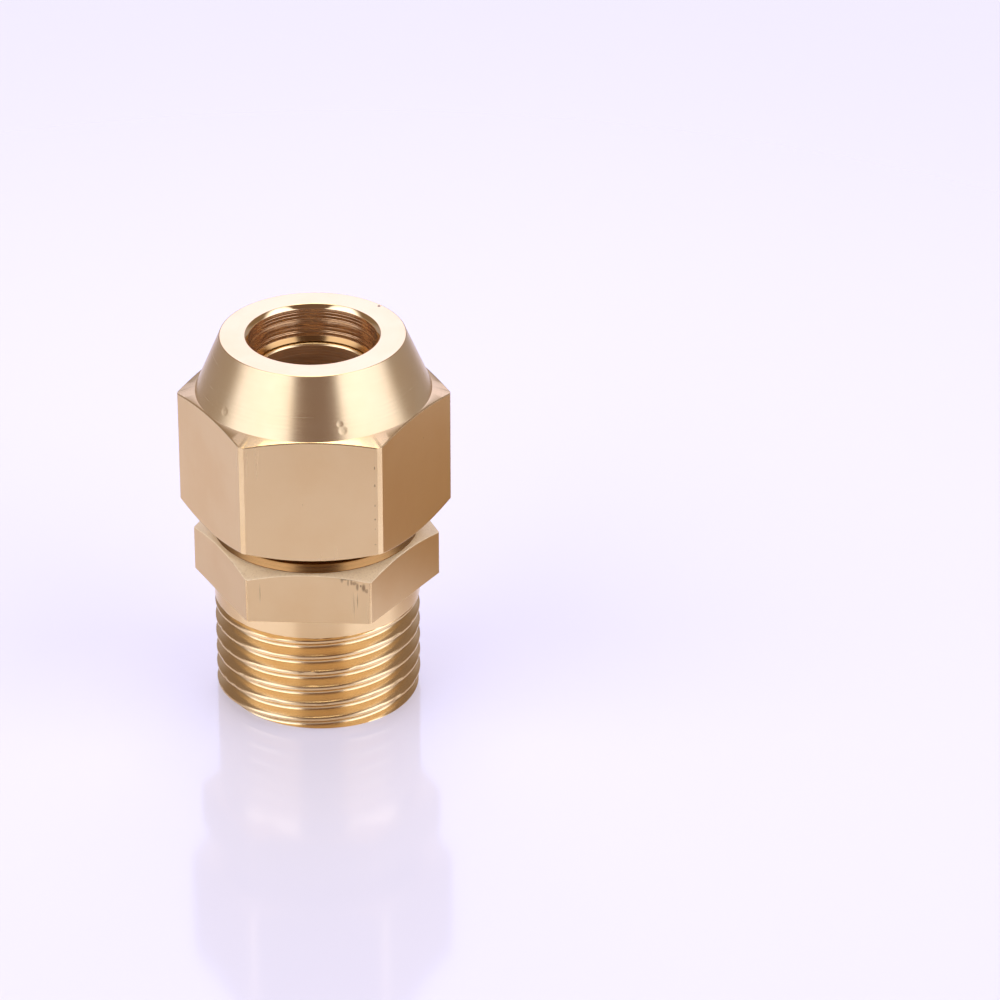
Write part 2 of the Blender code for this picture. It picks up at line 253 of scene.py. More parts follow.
# %% [markdown]
# ## The lamp
# A lamp hangs over the table and gives the gland its soft shadow. A brighter ceiling in the world could
# do that too, but the size of a lamp sets how soft the shadow is, and its power can be changed on its
# own.

# %% Overhead lamp
LAMP_PLACE = (0.0, 0.1, 0.75)
LAMP_SIZE = 0.5
LAMP_POWER = 1.6
LAMP_COLOUR = (1.0, 0.95, 0.86)

lamp_data = bpy.data.lights.new("overhead", "AREA")
lamp_data.shape = "DISK"
lamp_data.size = LAMP_SIZE
lamp_data.energy = LAMP_POWER
lamp_data.color = LAMP_COLOUR
lamp = bpy.data.objects.new("overhead", lamp_data)
lamp.location = LAMP_PLACE
lamp.visible_camera = False
bpy.context.scene.collection.objects.link(lamp)
print("lamp:", LAMP_POWER, "W")

# %% [markdown]
# ## The floor
# The gland stands on a pale sheet. A large plane would do, but the metal would then mirror it far and
# wide. A round sheet is enough, because its material fades it out before its rim.

# %% Floor
FLOOR_RADIUS = 0.3
FLOOR_SIDES = 96

floor_shape = bmesh.new()
bmesh.ops.create_circle(floor_shape, cap_ends=True, segments=FLOOR_SIDES, radius=FLOOR_RADIUS)
floor_mesh = bpy.data.meshes.new("floor")
floor_shape.to_mesh(floor_mesh)
floor_shape.free()
floor = bpy.data.objects.new("floor", floor_mesh)
bpy.context.scene.collection.objects.link(floor)
print("floor:", FLOOR_RADIUS, "m")

# %% [markdown]
# ## Where a pattern lies
# A finish needs to know where on the piece it is. An unwrapped map could tell it, but every piece here
# is turned round one axis, so the object's own coordinates, the height and the distance from the axis
# say it all.

# %% Material helpers


def new_material(name):
    """A material with a Principled shader, a socket to build its nodes from, and the shader's inputs."""
    material = bpy.data.materials.new(name)
    material.use_nodes = True
    return material, Socket(material.node_tree), material.node_tree.nodes["Principled BSDF"].inputs


def object_place(maker):
    return maker.node("TexCoord", output="Object")


def height_and_radius(maker, place):
    """The height of a place, and its distance from the gland's axis."""
    x, y, z = split(maker, place)
    return z, maker.maths("SQRT", x * x + y * y)


def distance(maker, place, point):
    return maker.node("VectorMath", {"operation": "DISTANCE"}, {0: place, 1: point}, 1)


def stretch(maker, place, factors):
    return maker.node("VectorMath", {"operation": "MULTIPLY"}, {0: place, 1: factors})


def cloud_noise(maker, place, scale, detail=2.0):
    return maker.node("TexNoise", inputs={"Vector": place, "Scale": scale, "Detail": detail})


def row_noise(maker, along, scale, detail=2.0):
    """Noise that changes along one line only, so that it makes rings on a turned piece."""
    return maker.node("TexNoise", {"noise_dimensions": "1D"}, {"W": along, "Scale": scale, "Detail": detail})


def bump(maker, shader, depth, relief):
    """Tilt the surface by a relief that is this many millimetres deep."""
    maker.feed(shader["Normal"], maker.node("Bump", inputs={"Distance": depth * MM, "Height": relief}))


print("materials so far:", len(bpy.data.materials))

# %% [markdown]
# ## The sheet
# The sheet is glossy and shows the gland faintly upside down. Further out it fades away, so that the
# metal finds a darker room there, while the camera finds the same pale colour behind it. To the right
# lies a warm brown card that only the metal sees, and it gives the flats on that side their deeper tone.
# The card could be an object of its own, but as a patch of the sheet it stays out of the picture.

# %% Pale sheet
FLOOR_FADE = (0.055, 0.20)
FLOOR_COLOUR = rgb(0.82, 0.78, 0.80)
FLOOR_GLOSS = 0.10
FLOOR_IOR = 1.75
FLOOR_LIFT = 0.30
CARD_PLACE = (0.056, 0.019, 0.0)
CARD_EDGE = (0.020, 0.037)
CARD_COLOUR = rgb(0.36, 0.23, 0.115)

sheet, maker, shader = new_material("pale_sheet")
place = object_place(maker)
z, radius = height_and_radius(maker, place)
shader["Base Color"].default_value = FLOOR_COLOUR
shader["Roughness"].default_value = FLOOR_GLOSS
shader["IOR"].default_value = FLOOR_IOR
maker.feed(shader["Alpha"], 1.0 - radius.step(*FLOOR_FADE))
seen_by_metal = maker.node("LightPath", output="Is Glossy Ray")
card = seen_by_metal * (1.0 - distance(maker, place, CARD_PLACE).step(*CARD_EDGE))
glossy = Socket(sheet.node_tree, sheet.node_tree.nodes["Principled BSDF"].outputs[0])
brown = maker.node("BsdfDiffuse", inputs={"Color": CARD_COLOUR})
mixed = maker.node("MixShader", inputs={0: card, 1: glossy, 2: brown})
pale = maker.node("Emission", inputs={"Color": PALE})
lift = maker.node("LightPath", output="Is Camera Ray") * FLOOR_LIFT
mixed = maker.node("MixShader", inputs={0: lift, 1: mixed, 2: pale})
maker.feed(sheet.node_tree.nodes["Material Output"].inputs["Surface"], mixed)
floor_mesh.materials.append(sheet)
print("sheet nodes:", len(sheet.node_tree.nodes))

# %% [markdown]
# ## Brass and its marks
# Bare brass is pale gold where it is polished and browner where it is stained. The browner colours of the
# bores, the nut's seat and the body's neck are painted shade for their dark insides and the gap under the
# nut. Handling leaves small dings, pits and scratches. They could be cut into the mesh, but marks this fine
# would need very many faces, so each is a small mask that dents the surface. A mark has a place, a width and
# a height in millimetres.

# %% Brass colours and marks
BRASS = rgb(0.86, 0.64, 0.33)
BRASS_WARM = rgb(0.83, 0.59, 0.285)
DIRT = rgb(0.12, 0.055, 0.022)
# The next colour is painted sparkle: the lighter grains on the hexagon's chamfer stand in for glints.
PAINTED_SPARKLE = rgb(1.0, 0.79, 0.44)
# The next two colours are painted shade for the land and the neck in the gap under the nut.
NECK_SHADE_LIGHT = rgb(0.34, 0.18, 0.058)
NECK_SHADE_DARK = rgb(0.31, 0.16, 0.050)
# The next two colours are painted shade for the dark inside of the bores.
BORE_SHADE_DARK = rgb(0.63, 0.36, 0.15)
BORE_SHADE_LIGHT = rgb(0.73, 0.45, 0.21)
# The next two colours are painted shade for the nut's seat and lip deep in the mouth.
SEAT_SHADE_LIGHT = rgb(0.46, 0.27, 0.10)
SEAT_SHADE_DARK = rgb(0.40, 0.23, 0.08)
DENT_DEPTH = 25.0
DENT_CORE = 0.3


def dents(maker, place, marks):
    """One inside each (x, y, z, width, height) mark, and nought outside."""
    total = 0.0
    for x, y, z, width, height in marks:
        squeeze = width / height
        near = stretch(maker, place, (1.0, 1.0, squeeze))
        far = distance(maker, near, (x * MM, y * MM, z * squeeze * MM))
        total = (1.0 - far.step(DENT_CORE * width * MM, width * MM)) + total
    return total


print("brass:", BRASS[:3])

# %% [markdown]
# ## Turned brass
# What the lathe has cut carries fine rings: across the axis on a cylinder, and round it on a flat end. A
# wave texture could draw them, but real feed marks are uneven, so they are noise along the sum of radius
# and height.

# %% Turned brass
MIDDLE = 0.5
STAIN_EDGE = (0.35, 0.75)
STAIN_DETAIL = 4.0
TURNED_STAIN = 160.0
TURNED_STAIN_GLOSS = 0.06
RING_SCALE = 2500.0
FINE_RING_SCALE = 9000.0
FINE_RING_SHARE = 0.5
RING_GLOSS = 0.10
RING_DEPTH = 0.0006


def turned_brass(name, gloss, depth=RING_DEPTH, marks=(), pits=(), colours=(BRASS, BRASS_WARM)):
    """Brass as the lathe leaves it, with dents where the marks are and dirt in the pits."""
    material, maker, shader = new_material(name)
    place = object_place(maker)
    z, radius = height_and_radius(maker, place)
    along = radius + z
    stain = cloud_noise(maker, place, TURNED_STAIN, STAIN_DETAIL)
    coarse = row_noise(maker, along, RING_SCALE)
    fine = row_noise(maker, along, FINE_RING_SCALE)
    pit = dents(maker, place, pits)
    dent = dents(maker, place, marks) + pit
    clean = stain.step(*STAIN_EDGE).mix(*colours)
    maker.feed(shader["Base Color"], pit.mix(clean, DIRT) if pits else clean)
    maker.feed(shader["Roughness"],
               gloss + RING_GLOSS * (fine - MIDDLE) + TURNED_STAIN_GLOSS * (stain - MIDDLE))
    shader["Metallic"].default_value = 1.0
    bump(maker, shader, depth, coarse + FINE_RING_SHARE * fine - DENT_DEPTH * dent)
    return material


print("ring depth:", RING_DEPTH, "mm")

# %% [markdown]
# ## Drawn brass
# The flats are what is left of the hexagon bar. The die that it was drawn through leaves faint lines
# along it, and handling leaves a rub across it. One noise could be used for all of it, but the lines,
# the wider bands and the rub run in different directions, so each is its own noise, stretched its own
# way.

# %% Drawn brass
DRAWN_STAIN = 140.0
DRAWN_STAIN_GLOSS = 0.08
LINE_SCALE = 2200.0
LINE_DETAIL = 3.0
LINE_STRETCH = (1.0, 1.0, 0.03)
LINE_GLOSS = 0.10
LINE_DEPTH = 0.0012
BAND_SCALE = 500.0
BAND_STRETCH = (1.0, 1.0, 0.05)
BAND_SHARE = 2.5
RUB_SCALE = 5200.0
RUB_STRETCH = (0.05, 0.05, 1.0)
RUB_SHARE = 0.6


def drawn_brass(name, gloss, marks):
    """Brass as it comes through the drawing die, with dirt in its marks."""
    material, maker, shader = new_material(name)
    place = object_place(maker)
    stain = cloud_noise(maker, place, DRAWN_STAIN, STAIN_DETAIL)
    lines = cloud_noise(maker, stretch(maker, place, LINE_STRETCH), LINE_SCALE, LINE_DETAIL)
    bands = cloud_noise(maker, stretch(maker, place, BAND_STRETCH), BAND_SCALE)
    rub = cloud_noise(maker, stretch(maker, place, RUB_STRETCH), RUB_SCALE)
    dent = dents(maker, place, marks)
    clean = stain.step(*STAIN_EDGE).mix(BRASS, BRASS_WARM)
    maker.feed(shader["Base Color"], (dent * lines).mix(clean, DIRT))
    maker.feed(shader["Roughness"],
               gloss + LINE_GLOSS * (lines - MIDDLE) + DRAWN_STAIN_GLOSS * (stain - MIDDLE))
    shader["Metallic"].default_value = 1.0
    bump(maker, shader, LINE_DEPTH, lines + RUB_SHARE * rub + BAND_SHARE * bands - DENT_DEPTH * dent)
    return material


print("line depth:", LINE_DEPTH, "mm")

# %% [markdown]
# ## Bored brass
# Here a bore is coloured browner than the outside, and that colour is painted shade for its dark inside. The
# boring bar leaves grooves round it that spread each reflection up and down the wall. A rougher shader would
# spread it all ways, so the grooves are a very fine relief instead.

# %% Bored brass
STREAK_SCALE = 4200.0
STREAK_DETAIL = 3.0
STREAK_STRETCH = (0.08, 0.08, 1.0)
STREAK_EDGE = (0.3, 0.7)
STREAK_SHARE = 0.5
GROOVE_SCALE = 12000.0
BORE_GLOSS = 0.14
BORE_GLOSS_SWING = 0.1


def bored_brass(name, depth, metal):
    """Brass inside a bore, in browner colours that are painted shade, with grooves of this depth in
    millimetres.
    """
    material, maker, shader = new_material(name)
    place = object_place(maker)
    z, radius = height_and_radius(maker, place)
    streaks = cloud_noise(maker, stretch(maker, place, STREAK_STRETCH), STREAK_SCALE, STREAK_DETAIL)
    grooves = row_noise(maker, z, GROOVE_SCALE, detail=0.0)
    maker.feed(shader["Base Color"], streaks.step(*STREAK_EDGE).mix(BORE_SHADE_DARK, BORE_SHADE_LIGHT))
    maker.feed(shader["Roughness"], BORE_GLOSS + BORE_GLOSS_SWING * (streaks - MIDDLE))
    shader["Metallic"].default_value = metal
    bump(maker, shader, depth, grooves + STREAK_SHARE * streaks)
    return material


print("bore gloss:", BORE_GLOSS)

# %% [markdown]
# ## Faced brass
# The chamfer on the body's hexagon was cut with a blunt edge that tore the metal a little, so it is matt and
# sparkles in grains. Polished metal under a strong relief could do that, but it turns dark between the
# sparks. A mostly diffuse shader stays as light as the real chamfer is, and its sparkle is painted: grains of
# a lighter colour stand in for glints.

# %% Faced brass
GRAIN_SCALE = 5000.0
GRAIN_DETAIL = 4.0
GRAIN_EDGE = (0.2, 0.55)
GRAIN_DEPTH = 0.02
GRAIN_METAL = 0.1
GRAIN_GLOSS = 0.42
GRAIN_GLOSS_SWING = 0.3


def faced_brass(name):
    """Brass that is torn a little, with painted sparkle: lighter grains stand in for glints."""
    material, maker, shader = new_material(name)
    grain = cloud_noise(maker, object_place(maker), GRAIN_SCALE, GRAIN_DETAIL)
    maker.feed(shader["Base Color"], grain.step(*GRAIN_EDGE).mix(BRASS, PAINTED_SPARKLE))
    maker.feed(shader["Roughness"], GRAIN_GLOSS + GRAIN_GLOSS_SWING * (grain - MIDDLE))
    shader["Metallic"].default_value = GRAIN_METAL
    bump(maker, shader, GRAIN_DEPTH, grain)
    return material


print("grain depth:", GRAIN_DEPTH, "mm")

# %% [markdown]
# ## The finishes of this gland
# Each piece has its own set of finishes. They could share one, but the marks belong to one piece each,
# and a nut that has been handled is a little duller than a bore. Ticks and burrs stand in uneven rows,
# and sines of their number keep those rows uneven in the same way on every run.

# %% Marks and finishes
NUT_DINGS = [(-9.1, -6.3, 35.5, 0.45, 0.45), (-8.5, -7.5, 35.1, 0.55, 0.55),
             (2.9, -10.7, 35.4, 0.45, 0.45), (3.2, -10.9, 34.8, 0.55, 0.55)]
NUT_PITS = [(6.5, 6.2, 39.97, 0.22, 0.22)]
NUT_TICKS = [(6.47 + 0.15 * math.cos(3.1 * number), -12.0,
              21.4 + 0.85 * number + 0.45 * math.sin(2.4 * number),
              0.10 + 0.05 * math.sin(1.7 * number), 0.17 + 0.09 * math.cos(2.9 * number))
             for number in range(12)]
BODY_SCRATCHES = [(-5.35, -10.64, 16.2, 0.07, 1.4), (4.07, -11.05, 15.1, 0.09, 1.8),
                  (4.43, -11.06, 15.6, 0.06, 1.2)]
BODY_BURRS = [(2.9 + 0.31 * number, -10.99 - 0.014 * number,
               18.1 - 0.15 * number + 0.16 * math.sin(2.2 * number),
               0.22 + 0.09 * math.sin(1.9 * number), 0.40 + 0.22 * math.cos(2.6 * number))
              for number in range(9)]

nut_turned = turned_brass("nut_turned_brass", gloss=0.24, marks=NUT_DINGS, pits=NUT_PITS)
nut_drawn = drawn_brass("nut_drawn_brass", gloss=0.30, marks=NUT_TICKS)
# The bores' browner finish is painted shade.
nut_bore_shade_finish = bored_brass("nut_bore_painted_shade", depth=0.04, metal=0.85)
nut_cut = turned_brass("nut_cut_brass", gloss=0.10)
# The seat's dark finish is painted shade.
seat_shade_finish = turned_brass("nut_seat_painted_shade", gloss=0.18, colours=(SEAT_SHADE_LIGHT, SEAT_SHADE_DARK))
body_turned = turned_brass("body_turned_brass", gloss=0.20)
# The neck's dark finish is painted shade under the nut.
neck_shade_finish = turned_brass("body_neck_painted_shade", gloss=0.28, colours=(NECK_SHADE_LIGHT, NECK_SHADE_DARK))
body_drawn = drawn_brass("body_drawn_brass", gloss=0.30, marks=BODY_SCRATCHES + BODY_BURRS)
# The chamfer's lighter grains are painted sparkle.
body_faced = faced_brass("body_faced_brass")
ferrule_turned = turned_brass("ferrule_turned_brass", gloss=0.24, depth=0.0014)
# The ferrule's bore finish is painted shade.
ferrule_bore_shade_finish = bored_brass("ferrule_bore_painted_shade", depth=0.02, metal=0.6)
washer_turned = turned_brass("washer_turned_brass", gloss=0.30, depth=0.0010)
print("materials:", [material.name for material in bpy.data.materials])

# %% [markdown]
# ## Rubber
# The seal is moulded rubber, nearly black and matt. One flat colour would do in the dark, but seen down
# the mouth it would look like a hole, so it has a faint grey bloom and a fine grain.

# %% Rubber
RUBBER_DARK = rgb(0.014, 0.014, 0.015)
RUBBER_BLOOM = rgb(0.035, 0.034, 0.033)
BLOOM_SCALE = 300.0
BLOOM_DETAIL = 4.0
BLOOM_EDGE = (0.4, 0.8)
RUBBER_GRAIN = 4000.0
RUBBER_GRAIN_DETAIL = 3.0
RUBBER_DEPTH = 0.01
RUBBER_GLOSS = 0.62
RUBBER_GLOSS_SWING = 0.2

seal_rubber, maker, shader = new_material("seal_rubber")
place = object_place(maker)
grain = cloud_noise(maker, place, RUBBER_GRAIN, RUBBER_GRAIN_DETAIL)
bloom = cloud_noise(maker, place, BLOOM_SCALE, BLOOM_DETAIL)
maker.feed(shader["Base Color"], bloom.step(*BLOOM_EDGE).mix(RUBBER_DARK, RUBBER_BLOOM))
maker.feed(shader["Roughness"], RUBBER_GLOSS + RUBBER_GLOSS_SWING * (bloom - MIDDLE))
bump(maker, shader, RUBBER_DEPTH, grain)
print("rubber nodes:", len(seal_rubber.node_tree.nodes))

# %% [markdown]
# ## A lathe
# Every piece of the gland is turned. Cylinders and cones could be joined to make it, but one outline
# shows the whole section at a glance. It is a few corners, given as radius, height and rounding in
# millimetres. The corners are rounded by a vertex bevel while the outline is still a wire, and then it
# is spun round the axis.

# %% Lathe
STEPS = 180
ROUND_STEPS = 3
ROUND_STEPS_PER_MM = 12
MERGE = 1e-7


def draw_outline(corners, closed=False):
    """A wire through (radius, height, rounding) corners."""
    shape = bmesh.new()
    verts = [shape.verts.new((radius * MM, 0.0, height * MM)) for radius, height, _ in corners]
    for first, second in zip(verts, verts[1:] + verts[:1] if closed else verts[1:]):
        shape.edges.new((first, second))
    for rounding in sorted({corner[2] for corner in corners} - {0}):
        chosen = [vert for vert, corner in zip(verts, corners) if corner[2] == rounding]
        segments = max(ROUND_STEPS, round(rounding * ROUND_STEPS_PER_MM))
        bmesh.ops.bevel(shape, geom=chosen, offset=rounding * MM, affect="VERTICES", segments=segments,
                        profile=0.5, material=-1)
    return shape


def turn(shape, start=0.0):
    """Spin an outline a full turn round the axis, from a start angle."""
    bmesh.ops.rotate(shape, verts=shape.verts, cent=(0, 0, 0), matrix=Matrix.Rotation(start, 3, "Z"))
    bmesh.ops.spin(shape, geom=shape.verts[:] + shape.edges[:], cent=(0, 0, 0), axis=(0, 0, 1),
                   angle=math.tau, steps=STEPS, use_merge=True)
    bmesh.ops.remove_doubles(shape, verts=shape.verts, dist=MERGE)
    return shape


print("steps in a turn:", STEPS)

# %% [markdown]
# ## Joining shapes
# The outside, the inside and the thread of a piece are made on their own and then joined. A boolean
# could join them, but it is slow and leaves slivers. Here their rims already lie at the same heights, so
# a flat ring of new faces between two rims is enough.

# %% Joining and choosing faces
TURNED, FLAT = range(2)
RIM_REACH = 10 * MERGE


def add_to(shape, other):
    """Put a second shape into the first one."""
    mesh = bpy.data.meshes.new("passing")
    other.to_mesh(mesh)
    other.free()
    shape.from_mesh(mesh)
    bpy.data.meshes.remove(mesh)


def close_ring(shape, height):
    """Fill the flat ring between two open edges that lie at one height."""
    rims = [edge for edge in shape.edges
            if edge.is_boundary and all(abs(vert.co.z - height * MM) < RIM_REACH for vert in edge.verts)]
    made = bmesh.ops.triangle_fill(shape, edges=rims, use_beauty=True, normal=(0, 0, 1))
    print("  ring at", height, "mm:", len(made["geom"]), "new parts")


def polar(point):
    """A point's radius and height, in millimetres."""
    return math.hypot(point.x, point.y) / MM, point.z / MM


def finish_faces(shape, index, low, high, inner, outer):
    """Give a material to the turned faces whose middles lie between two heights and two radii."""
    for face in shape.faces:
        radius, height = polar(face.calc_center_median())
        if face.material_index == TURNED and low < height < high and inner < radius < outer:
            face.material_index = index


print("rims meet within", RIM_REACH, "m")

# %% [markdown]
# ## A mill
# A real hexagon is left over from the bar or milled. A six-sided prism could be met with a cone, but it
# is simpler to do what a mill does: six planes cut the turned blank, and each cut is closed by one face.
# Edges also get small nicks, which only ever go inwards, so the piece stays inside its box.

# %% Mill
NICK_LEVEL = 0.25


def mill_flats(shape, flat, turn_angle, edge):
    """Cut six flats at this distance from the axis, and break their edges."""
    for side in range(6):
        angle = turn_angle + (side + 0.5) * math.tau / 6
        normal = Vector((math.cos(angle), math.sin(angle), 0.0))
        cut = bmesh.ops.bisect_plane(shape, geom=shape.verts[:] + shape.edges[:] + shape.faces[:], dist=MERGE,
                                     plane_co=normal * flat * MM, plane_no=normal, clear_outer=True)
        rim = [part for part in cut["geom_cut"] if isinstance(part, bmesh.types.BMEdge)]
        for face in bmesh.ops.edgeloop_fill(shape, edges=rim)["faces"]:
            face.material_index = FLAT
    flats = [face for face in shape.faces if face.material_index == FLAT]
    rims = list({rim for face in flats for rim in face.edges})
    bmesh.ops.bevel(shape, geom=rims, offset=edge * MM, affect="EDGES", segments=ROUND_STEPS, profile=0.5,
                    material=TURNED)
    print("  flats:", len(flats))


def nick(point, size, depth):
    """How far a worn edge is set back at a point, in millimetres."""
    return depth * max(noise.noise(point / (size * MM)) - NICK_LEVEL, 0.0)


print("nicks start at a noise of", NICK_LEVEL)

# %% [markdown]
# ## A thread cutter
# A thread is a groove that climbs round the axis. Stacked rings look like one from afar, but they don't
# climb and have no end. So an outline of one pitch is spun while it climbs, and each turn meets the last
# one. What the lathe did before or after the thread, such as a lead-in cone, is a limit on the radius at
# each height.

# %% Thread cutter
JOIN = 20 * MERGE


def thread_form(peak, base, peak_half, slope, pitch, peak_round, base_round):
    """The outline of one pitch, from mid-flank to the same mid-flank a turn further on."""
    base_half = pitch / 2 - peak_half - (peak - base) * slope
    middle = (peak + base) / 2
    flank = peak_half + (peak - base) * slope / 2
    ridge_sides = (-1, 1) if peak_half else (0,)
    groove_sides = (-1, 1) if base_half > MERGE else (0,)
    ridge = [(peak, side * peak_half, peak_round) for side in ridge_sides]
    groove = [(base, pitch / 2 + side * base_half, base_round) for side in groove_sides]
    return [(middle, -flank, 0), *ridge, (middle, flank, 0), *groove, (middle, pitch - flank, 0)]


def cut_thread(form, pitch, start, low, high, spacing, limit):
    """A helical surface between two heights. One of its peaks crosses the +X side at the start height."""
    first = math.floor((low - 2 * pitch - start) / pitch)
    turns = math.ceil((high + pitch - start) / pitch) - first
    bottom = start + first * pitch
    shape = draw_outline([(radius, bottom + height, rounding) for radius, height, rounding in form])
    for edge in shape.edges[:]:
        cuts = int(edge.calc_length() / (spacing * MM))
        if cuts:
            bmesh.ops.subdivide_edges(shape, edges=[edge], cuts=cuts)
    bmesh.ops.spin(shape, geom=shape.verts[:] + shape.edges[:], cent=(0, 0, 0), axis=(0, 0, 1),
                   dvec=(0, 0, pitch * MM / STEPS), angle=math.tau, steps=STEPS)
    first_turn = shape.verts[:] + shape.edges[:] + shape.faces[:]
    for number in range(1, turns):
        copy = bmesh.ops.duplicate(shape, geom=first_turn)["geom"]
        bmesh.ops.translate(shape, verts=[part for part in copy if isinstance(part, bmesh.types.BMVert)],
                            vec=(0, 0, number * pitch * MM))
    bmesh.ops.remove_doubles(shape, verts=shape.verts, dist=JOIN)
    for vert in shape.verts:
        radius, height = polar(vert.co)
        vert.co.xy *= limit(radius, height, vert.co) / radius
    for height, side in ((low, -1.0), (high, 1.0)):
        bmesh.ops.bisect_plane(shape, geom=shape.verts[:] + shape.edges[:] + shape.faces[:], dist=MERGE,
                               plane_co=(0, 0, height * MM), plane_no=(0, 0, side), clear_outer=True)
    print("  thread:", turns, "turns,", len(shape.faces), "faces")
    return shape


print("turns join within", JOIN, "m")

# %% [markdown]
# ## Finishing a piece
# On the real gland the flats are flat and the turned faces are round. Smoothing everything would bend
# the light on the flats, so only the turned faces are smooth, edges past a certain angle stay sharp, and
# the normals follow the larger faces. The piece then takes the place of its packed node and rides on its
# body.

# %% Finishing a piece
SHARP = math.radians(32.0)


def add_piece(name, shape, materials, node, body=None):
    """Turn a shape's faces outwards, count its open edges, shade it, and put it in the place of its node."""
    bmesh.ops.recalc_face_normals(shape, faces=shape.faces)
    open_edges = sum(not edge.is_manifold for edge in shape.edges)
    mesh = bpy.data.meshes.new(name)
    shape.to_mesh(mesh)
    shape.free()
    for material in materials:
        mesh.materials.append(material)
    for face in mesh.polygons:
        face.use_smooth = face.material_index != FLAT
    mesh.set_sharp_from_angle(angle=SHARP)
    piece = bpy.data.objects.new(name, mesh)
    bpy.context.scene.collection.objects.link(piece)
    weigh = piece.modifiers.new("normals", "WEIGHTED_NORMAL")
    weigh.keep_sharp = True
    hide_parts(node)
    if body:
        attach(piece, body)
    print(name + ":", len(mesh.polygons), "faces,", open_edges, "open edges")
    return piece


print("sharp from", round(math.degrees(SHARP)), "degrees")

# %% [markdown]
# ## The body's sizes
# The body has a pipe thread at its foot, a plain collar, a hexagon for the spanner, and a neck that ends
# in a fine thread for the nut. All sizes could stand inside the outlines, but most of them depend on
# each other, so they are named here, in millimetres, and the outlines below read like a drawing.

# %% Body sizes
BODY_BOTTOM, BODY_TOP = heights("gland_body")
ENTRY_PITCH = 1.814
ENTRY_CREST = 20.955 / 2
ENTRY_SLOPE = math.tan(math.radians(27.5))
ENTRY_START = -0.05
LEAD_SLOPE = math.tan(math.radians(30.0))
LEAD_HEIGHT = 0.5
END_CIRCLE = ENTRY_CREST - LEAD_HEIGHT * LEAD_SLOPE
COLLAR = ENTRY_CREST + 0.022
COLLAR_BOTTOM = 10.9
HEX_BOTTOM = 12.92
HEX_TOP = 18.39
BODY_FLAT = COLLAR + 0.36
BODY_BLANK = 12.50
BODY_TURN = math.radians(-2.5)
BODY_EDGE = 0.06
CHAMFER_CIRCLE = BODY_FLAT - 0.1
CHAMFER_SLOPE = math.tan(math.radians(22.0))
CHAMFER_BOTTOM = HEX_TOP - (BODY_BLANK - CHAMFER_CIRCLE) * CHAMFER_SLOPE
LAND_FOOT = 10.38
LAND_TOP = 10.02
LAND_HEIGHT = 0.78
NUT_PITCH = 1.5
NUT_SLOPE = math.tan(math.radians(30.0))
UPPER_ROOT = 9.25
UPPER_CREST = UPPER_ROOT + 0.5 * NUT_PITCH
NECK = UPPER_ROOT - 0.1
NECK_TOP = HEX_TOP + 1.57
UPPER_START = NECK_TOP + 1.2
TOP_CIRCLE = UPPER_CREST - 0.8
SOCKET = 7.75
SOCKET_FLOOR = HEX_TOP + 0.86
SOCKET_CHAMFER = 0.4
THROAT = 5.2
THROAT_BOTTOM = 12.05
SHOULDER_BOTTOM = 10.578
ENTRY_BORE = 7.75
BORE_CHAMFER = 0.3
END_RING = 8.3
RING_ROOM = 0.2
print("body:", BODY_BOTTOM, "to", BODY_TOP, "mm")

# %% [markdown]
# ## The body's hexagon and neck
# The hexagon's top is chamfered, and above it a low conical land leads to the neck, which shows as a gold
# band under the nut. The land and the neck are coloured dark brown: painted shade for the gap under the nut.
# The chamfer could be a bevel on the milled hexagon, but on the lathe it is a cone, and cutting the flats
# through that cone gives the real curved edges. The upper rim is nicked by handling. The blank is spun from
# the hexagon's own angle, so that the flats meet its columns evenly.

# %% Body outside
SHADED_NECK, FACED = 2, 3
LAND_ROUND = 0.05
RIM_NICK = (0.4, 0.25)
HAIR = 0.01

body = turn(draw_outline([
    (COLLAR + RING_ROOM, HEX_BOTTOM, 0),
    (BODY_BLANK, HEX_BOTTOM, 0),
    (BODY_BLANK, CHAMFER_BOTTOM, 0),
    (CHAMFER_CIRCLE, HEX_TOP, 0),
    (LAND_FOOT, HEX_TOP, LAND_ROUND),
    (LAND_TOP, HEX_TOP + LAND_HEIGHT, LAND_ROUND),
    (NECK, HEX_TOP + LAND_HEIGHT, LAND_ROUND),
    (NECK, NECK_TOP, 0),
]), BODY_TURN)
mill_flats(body, BODY_FLAT, BODY_TURN, BODY_EDGE)
# The chamfer gets the finish with painted sparkle.
finish_faces(body, FACED, CHAMFER_BOTTOM - LAND_ROUND, HEX_TOP + HAIR, LAND_FOOT + LAND_ROUND, BODY_BLANK)
# The land and the neck get the painted shade under the nut.
finish_faces(body, SHADED_NECK, HEX_TOP - HAIR, NECK_TOP, 0.0, LAND_FOOT + BODY_EDGE)
for vert in body.verts:
    radius, height = polar(vert.co)
    if radius > CHAMFER_CIRCLE - BODY_EDGE and CHAMFER_BOTTOM - BODY_EDGE < height < HEX_TOP + MERGE:
        back = nick(vert.co, *RIM_NICK)
        vert.co.xy *= 1.0 - back / radius
        vert.co.z -= back * MM / 2
print("hexagon and neck:", len(body.faces), "faces")

# %% [markdown]
# ## The body's inside
# Inside are the wide entry bore, a cone, the throat, and the socket that holds the seal. Drilling them
# out with booleans would work, but one more outline spun into the same mesh is exact and quick.

# %% Body inside
CORNER_ROUND = 0.1
EDGE_ROUND = 0.08

